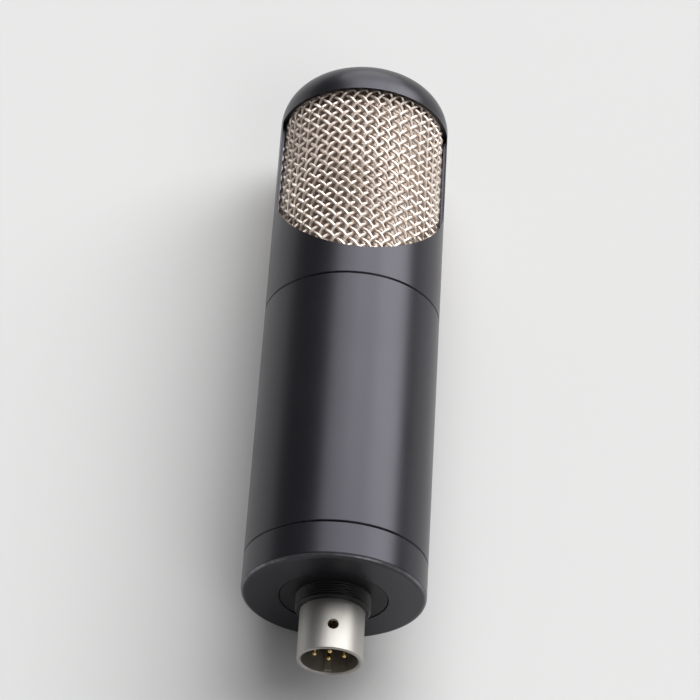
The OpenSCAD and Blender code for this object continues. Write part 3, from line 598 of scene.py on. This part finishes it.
# Transformer. A stack of thin silicon-steel sheets round a cream bobbin wound with enamelled copper, held
# to the rear of the board by an aluminium strap and two screws.
lamination = Finish("lamination", {"Metallic": 0.8})
SHEET = 0.00035
layer = lamination.along(2) / SHEET
joint = abs(layer.math("FRACT", layer) - 0.5) * 2
mottle = lamination.noise(500, 3)
lamination.feed("Base Color", lamination.blend(joint, (0.13, 0.13, 0.14), (0.24, 0.235, 0.23)))
lamination.feed("Roughness", 0.42 + mottle * 0.2)
lamination.bump(joint, 0.00004, 0.7)
dress(lamination, "transformer_core")

cream_nylon = Finish("cream_nylon", {"Specular IOR Level": 0.4})
cloud = cream_nylon.noise(350, 2)
cream_nylon.feed("Base Color", cream_nylon.blend(cloud, (0.62, 0.57, 0.42), (0.72, 0.67, 0.52)))
cream_nylon.feed("Roughness", 0.42 + cloud * 0.12)
dress(cream_nylon, "transformer_bobbin")

enamel_copper = Finish("enamel_copper", {"Metallic": 0.9})
TURN_PITCH = 0.00022
turn_line = enamel_copper.along(1) / TURN_PITCH
bulge_and_turn_shade = turn_line.math("FRACT", turn_line)
bulge_and_turn_shade = 4 * bulge_and_turn_shade * (1 - bulge_and_turn_shade)
# Painted shade and highlight: each turn is painted dark copper in the grooves between turns and bright
# copper on its crown.
enamel_copper.feed("Base Color", enamel_copper.blend(bulge_and_turn_shade, (0.20, 0.07, 0.025), (0.62, 0.26, 0.10)))
enamel_copper.feed("Roughness", 0.30 + enamel_copper.noise(900, 2) * 0.14)
enamel_copper.bump(bulge_and_turn_shade, 0.00006, 0.8)
dress(enamel_copper, "transformer_winding")
screwed("strap_screws", [spot(-15.7, 2.2, 54.5), spot(15.7, 2.2, 54.5)], [FRONT] * 2, 0.0026)

# Valve and its holder. A glazed ceramic socket in the shelf takes nine plated pins. The glass bulb has a
# silvery getter mirror inside its top; two carbonised anodes stand between mica discs.
glazed = Finish("glazed_ceramic", {"Coat Roughness": 0.08})
fleck = glazed.noise(800, 3)
glazed.feed("Base Color", glazed.blend(fleck, (0.70, 0.67, 0.58), (0.80, 0.78, 0.71)))
glazed.feed("Roughness", 0.30 + fleck * 0.16)
glazed.feed("Coat Weight", 0.5 + fleck * 0.2)
dress(glazed, "valve_socket")

valve_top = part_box("valve_envelope")[1].y
FLASH_START, FLASH_FULL = 0.0135, 0.0105   # below the top of the bulb
bulb_glass = Finish("bulb_glass", {"Transmission Weight": 1.0, "IOR": 1.5})
haze = bulb_glass.noise(260, 2)
flash = bulb_glass.step(bulb_glass.along(1) + haze * 0.004, valve_top - FLASH_START, valve_top - FLASH_FULL)
bulb_glass.feed("Base Color", bulb_glass.blend(flash, (0.97, 0.98, 0.98), (0.19, 0.185, 0.18)))
bulb_glass.feed("Metallic", flash)
bulb_glass.feed("Roughness", 0.03 + flash * 0.25 + haze * 0.02)
dress(bulb_glass, "valve_envelope", "valve_stem")

bright_nickel = Finish("bright_nickel", {"Metallic": 1.0})
smear = bright_nickel.noise(1500, 2)
bright_nickel.feed("Base Color", bright_nickel.blend(smear, (0.52, 0.50, 0.46), (0.68, 0.66, 0.62)))
bright_nickel.feed("Roughness", 0.20 + smear * 0.16)
dress(bright_nickel, "valve_pins", "valve_rods", "valve_getter")

carbonised = Finish("carbonised_sheet", {"Metallic": 0.35})
soot = carbonised.noise(1400, 3)
carbonised.feed("Base Color", carbonised.blend(soot, (0.035, 0.035, 0.037), (0.085, 0.085, 0.088)))
carbonised.feed("Roughness", 0.55 + soot * 0.2)
dress(carbonised, "valve_anodes")

mica_sheet = Finish("mica_sheet", {"Specular IOR Level": 0.6})
flake = mica_sheet.noise(900, 4)
mica_sheet.feed("Base Color", mica_sheet.blend(flake, (0.55, 0.51, 0.42), (0.78, 0.75, 0.66)))
mica_sheet.feed("Roughness", 0.20 + flake * 0.25)
dress(mica_sheet, "valve_micas")

# Capsule. Two gold-coated films stretched over a drilled brass backplate, each under a turned brass ring
# with twelve slotted screws. A moulded saddle on a rubber foot carries it above the head plate.
capsule_low, capsule_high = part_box("capsule_backplate")
capsule_mid = (capsule_low + capsule_high) / 2
turned_brass = Finish("turned_brass", {"Metallic": 1.0})
off_x, off_y = turned_brass.along(0) - capsule_mid.x, turned_brass.along(1) - capsule_mid.y
spread = off_x * off_x + off_y * off_y
spread = spread.math("SQRT", spread)
cuts = turned_brass.node("ShaderNodeTexNoise", {"noise_dimensions": "1D"}, {"W": spread, "Scale": 9000.0})
turned_brass.feed("Base Color", turned_brass.blend(
    turned_brass.noise(200, 2), (0.56, 0.38, 0.16), (0.68, 0.50, 0.25)))
turned_brass.feed("Roughness", 0.22 + cuts * 0.16)
turned_brass.bump(cuts, 0.000008, 0.6)
dress(turned_brass, "capsule_backplate", "front_clamp_ring", "rear_clamp_ring")

gold_film = Finish("gold_film", {"Metallic": 1.0})
pull = gold_film.noise(240, 2)
gold_film.feed("Base Color", gold_film.blend(pull, (0.74, 0.53, 0.20), (0.84, 0.63, 0.28)))
gold_film.feed("Roughness", 0.10 + pull * 0.08)
gold_film.bump(pull, 0.00002, 0.3)
dress(gold_film, "front_diaphragm", "rear_diaphragm")

brass_screw = screw_tree("brass_screw", turned_brass)
RING_SCREWS, RING_SCREW_R, RING_FACE = 12, 0.0152, 0.00422
ring_places, ring_aims = [], []
for side in (-1, 1):
    for k in range(RING_SCREWS):
        angle = 2 * math.pi * (k + 0.5) / RING_SCREWS
        ring_places.append(capsule_mid + Vector((math.cos(angle), math.sin(angle), 0)) * RING_SCREW_R
                           + FRONT * side * RING_FACE)
        ring_aims.append(FRONT * side)
ring_screws = grown("capsule_screws_slotted", brass_screw, {
    "Head": 0.0008, "Seat": 0.00085, "Height": 0.0006, "Slot": 0.3, "Cross": 0.3, "Shank": 0.0004,
    "Length": 0.0004}, ring_places, ring_aims)
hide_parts("capsule_screws")

mount_rubber = Finish("mount_rubber", {"Specular IOR Level": 0.3})
dust = mount_rubber.noise(1100, 3)
mount_rubber.feed("Base Color", mount_rubber.blend(dust, (0.016, 0.016, 0.016), (0.034, 0.033, 0.032)))
mount_rubber.feed("Roughness", 0.70 + dust * 0.15)
mount_rubber.bump(dust, 0.00003, 0.5)
dress(mount_rubber, "capsule_mount")

# Leads. Thin stranded wire in coloured sleeving: one from each film down to the board, and six from the
# connector's pins up to the board's lower edge, each soldered at both ends.
def sleeving(name, dark, light):
    finish = Finish(name, {"Specular IOR Level": 0.4})
    shade = finish.noise(800, 2)
    finish.feed("Base Color", finish.blend(shade, dark, light))
    finish.feed("Roughness", 0.38 + shade * 0.14)
    return finish


def lead_tree(name, finish):
    """A round lead along every run of edges."""
    g, size = new_tree(name, Radius="Float")
    run = g.node("GeometryNodeMeshToCurve", None, {"Mesh": size["Geometry"]})
    ring = g.node("GeometryNodeCurvePrimitiveCircle", None, {"Resolution": 10, "Radius": size["Radius"]})
    lead = g.node("GeometryNodeCurveToMesh", None, {"Curve": run, "Profile Curve": ring, "Fill Caps": True})
    return closed_tree(g, lead, finish)


LEAD_STEPS = 28


def laid(node, finish, radius, paths):
    """Points along chained cubic pieces, strung into edges and made round."""
    points, edges = [], []
    for path in paths:
        for first in range(0, len(path) - 1, 3):
            a, b, c, d = path[first:first + 4]
            for step in range(LEAD_STEPS + (first + 4 >= len(path))):
                t = step / LEAD_STEPS
                if points and (first or step):
                    edges.append((len(points) - 1, len(points)))
                points.append(a * (1 - t) ** 3 + b * 3 * t * (1 - t) ** 2
                              + c * 3 * t * t * (1 - t) + d * t ** 3)
    piece = grown(node + "_round", lead_tree(node + "_run", finish), {"Radius": radius}, points, (), edges)
    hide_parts(node)


film_paths = [[spot(0, s * 4.52, 155.3), spot(s * 3, s * 11.52, 146.3), spot(s * 9.5, s * 8, 134),
               spot(s * 9.5, s * 8, 117.9), spot(s * 9.5, s * 8, 107.9), spot(s * 9.5, end, 109),
               spot(s * 9.5, end, 103)] for s, end in ((-1, 1.7), (1, 4.3))]
red_sleeving = sleeving("red_sleeving", (0.34, 0.020, 0.014), (0.46, 0.035, 0.024))
laid("capsule_leads", red_sleeving, 0.00045, film_paths)
PIN_CIRCLE_R = 5   # millimetres
pin_paths = []
for k, pad in enumerate(pad_across):
    angle = math.radians(60 * (k + 0.5))
    across, back = PIN_CIRCLE_R * math.cos(angle), PIN_CIRCLE_R * math.sin(angle)
    pin_paths.append([spot(across, back, 28.5), spot(across, back, 33.5),
                      spot(pad, -3.8, 33.5), spot(pad, 1.6, 39.5)])
blue_sleeving = sleeving("blue_sleeving", (0.020, 0.045, 0.20), (0.032, 0.070, 0.28))
laid("connector_leads", blue_sleeving, 0.0005, pin_paths)

# Grille. Two families of pale plated wire, woven over and under at 45 degrees and rolled to a
# cylinder, soldered into a rim at each end. A fine gauze, drawn solid, stands close behind it, with painted
# shade in the holes between its threads.
plated_wire = Finish("plated_wire", {"Metallic": 1.0})
wire_tone = plated_wire.noise(900, 2)
plated_wire.feed("Base Color", plated_wire.blend(wire_tone, (0.86, 0.75, 0.67), (0.95, 0.87, 0.80)))
plated_wire.feed("Roughness", 0.44 + wire_tone * 0.12)
dress(plated_wire, "grille_rims")

GAUZE_PITCH = 0.0004
gauze_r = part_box("inner_gauze")[1].x
fine_gauze = Finish("fine_gauze", {"Metallic": 0.9})
across, height = fine_gauze.along(0), fine_gauze.along(2) - axis_z
threads = []
for run in (across.math("ARCTAN2", across, height) * gauze_r, fine_gauze.along(1)):
    wave = run * (math.pi / GAUZE_PITCH)
    threads.append(abs(wave.math("SINE", wave)))
weave_and_hole_shade = threads[0].math("MAXIMUM", *threads)
# Painted shade: the holes between the gauze's threads are painted dark, where the dark inside of the head
# would show through.
fine_gauze.feed("Base Color", fine_gauze.blend(
    fine_gauze.step(weave_and_hole_shade, 0.55, 0.95), (0.06, 0.050, 0.042), (0.52, 0.44, 0.39)))
fine_gauze.feed("Roughness", 0.36 + fine_gauze.noise(2600, 1) * 0.16)
fine_gauze.bump(weave_and_hole_shade, 0.00006)
dress(fine_gauze, "inner_gauze")


def woven_tree(finish):
    """One family of helical wires that rise and dip at each crossing, set round the barrel's axis."""
    g, size = new_tree("woven_family", Wires="Int", Steps="Int", Radius="Float", Low="Float", High="Float",
                       Wire_Radius="Float", Wave="Float", Side="Float", Axis_Height="Float")
    height = size["High"] - size["Low"]
    share = g.node("GeometryNodeSplineParameter")
    turn = height / size["Radius"] * share
    phase = turn * size["Wires"]
    reach = size["Radius"] + size["Wave"] * size["Side"] * phase.math("COSINE", phase)
    around = turn * size["Side"]
    path = g.node("ShaderNodeCombineXYZ", None, {
        0: reach * around.math("SINE", around), 1: size["Low"] + height * share,
        2: reach * around.math("COSINE", around)})
    line = g.node("GeometryNodeCurvePrimitiveLine", None, {"End": (0, 1, 0)})
    line = g.node("GeometryNodeResampleCurve", None, {"Curve": line, "Count": size["Steps"]})
    line = g.node("GeometryNodeSetPosition", None, {"Geometry": line, "Position": path})
    ring = g.node("GeometryNodeCurvePrimitiveCircle", None, {
        "Resolution": 6, "Radius": size["Wire_Radius"]})
    wire = g.node("GeometryNodeCurveToMesh", None, {
        "Curve": line, "Profile Curve": ring, "Fill Caps": True})
    index = g.node("GeometryNodeInputIndex")
    spin = g.node("ShaderNodeCombineXYZ", None, {1: index * (2 * math.pi) / size["Wires"]})
    posts = g.node("GeometryNodePoints", None, {"Count": size["Wires"]})
    family = g.node("GeometryNodeInstanceOnPoints", None, {
        "Points": posts, "Instance": wire, "Rotation": spin})
    family = g.node("GeometryNodeRealizeInstances", None, {"Geometry": family})
    lift = g.node("ShaderNodeCombineXYZ", None, {2: size["Axis_Height"]})
    family = g.node("GeometryNodeSetPosition", None, {"Geometry": family, "Offset": lift})
    return closed_tree(g, family, finish)


WIRES = 40
WIRE_STEPS = 132
WIRE_R = 0.00047
WAVE = 0.00047
wires_low, wires_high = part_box("grille_wires")
weave_r = wires_high.x - WAVE - WIRE_R
woven_family = woven_tree(plated_wire)
for family_name, side in (("woven_wires_right", 1.0), ("woven_wires_left", -1.0)):
    woven = grown(family_name, woven_family, {
        "Wires": WIRES, "Steps": WIRE_STEPS, "Radius": weave_r, "Low": wires_low.y, "High": wires_high.y,
        "Wire_Radius": WIRE_R, "Wave": WAVE, "Side": side, "Axis_Height": axis_z})
    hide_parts("grille_wires")

# Head shell, body sleeve and base ring. Turned metal with a satin black coat that has a faint blue
# cast. The shell is held by two side screws, the sleeve slides over the chassis, the ring locks it.
satin_coat = Finish("satin_coat", {"Specular IOR Level": 0.46, "Specular Tint": (0.90, 0.86, 1.0, 1)})
grain = satin_coat.noise(5200, 3)
smudge = satin_coat.noise(45, 3)
RING_EDGE = 0.0014   # the ring's lower edge is rounded by this much, and a painted highlight runs along it
RUB_START, RUB_END = 0.0001, 0.0006   # wear along the other turned edges
rubbed = 0.0
for piece_name, end in (("base_ring", 1), ("body_sleeve", 0), ("body_sleeve", 1), ("head_shell", 0)):
    off_edge = abs(satin_coat.along(1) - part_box(piece_name)[end].y)
    rubbed = (1 - satin_coat.step(off_edge, RUB_START, RUB_END)) + rubbed
rubbed = rubbed * satin_coat.step(satin_coat.noise(700, 3), 0.5, 0.7)
coat = satin_coat.blend(smudge, (0.0054, 0.0052, 0.0066), (0.0078, 0.0075, 0.0094))
coat = satin_coat.blend(rubbed, coat, (0.022, 0.022, 0.024))
up_edge = (satin_coat.along(1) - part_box("base_ring")[0].y) / RING_EDGE
# Painted highlight: a lighter, metallic band along the ring's rounded lower edge, uneven along its length,
# stands in for the light caught on that edge.
painted_rim_highlight = satin_coat.step(up_edge, 0.10, 0.34) * (1 - satin_coat.step(up_edge, 0.55, 0.80))
painted_rim_highlight = painted_rim_highlight * (0.45 + 0.55 * satin_coat.step(satin_coat.noise(260, 3), 0.35, 0.65))
satin_coat.feed("Base Color", satin_coat.blend(painted_rim_highlight, coat, (0.20, 0.20, 0.21)))
satin_coat.feed("Metallic", painted_rim_highlight)
satin_coat.feed("Roughness", 0.26 + smudge * 0.08 + grain * 0.06)
satin_coat.bump(grain, 0.000008, 0.5)
dress(satin_coat, "head_shell", "body_sleeve", "base_ring")

blacked_steel = Finish("blacked_steel", {"Metallic": 0.7})
oxide = blacked_steel.noise(1600, 3)
blacked_steel.feed("Base Color", blacked_steel.blend(oxide, (0.020, 0.020, 0.022), (0.050, 0.050, 0.054)))
blacked_steel.feed("Roughness", 0.34 + oxide * 0.16)
COUNTERSUNK = {"Head": 0.0019, "Seat": 0.001, "Height": 0.0011, "Slot": 0.26, "Cross": 1.2,
               "Shank": 0.001, "Length": 0.0069}
side_screws = grown("head_screws_cross", screw_tree("blacked_screw", blacked_steel), COUNTERSUNK,
                    [spot(-25.75, 0, 117.95), spot(25.75, 0, 117.95)], [LEFT, RIGHT])
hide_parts("head_screws")
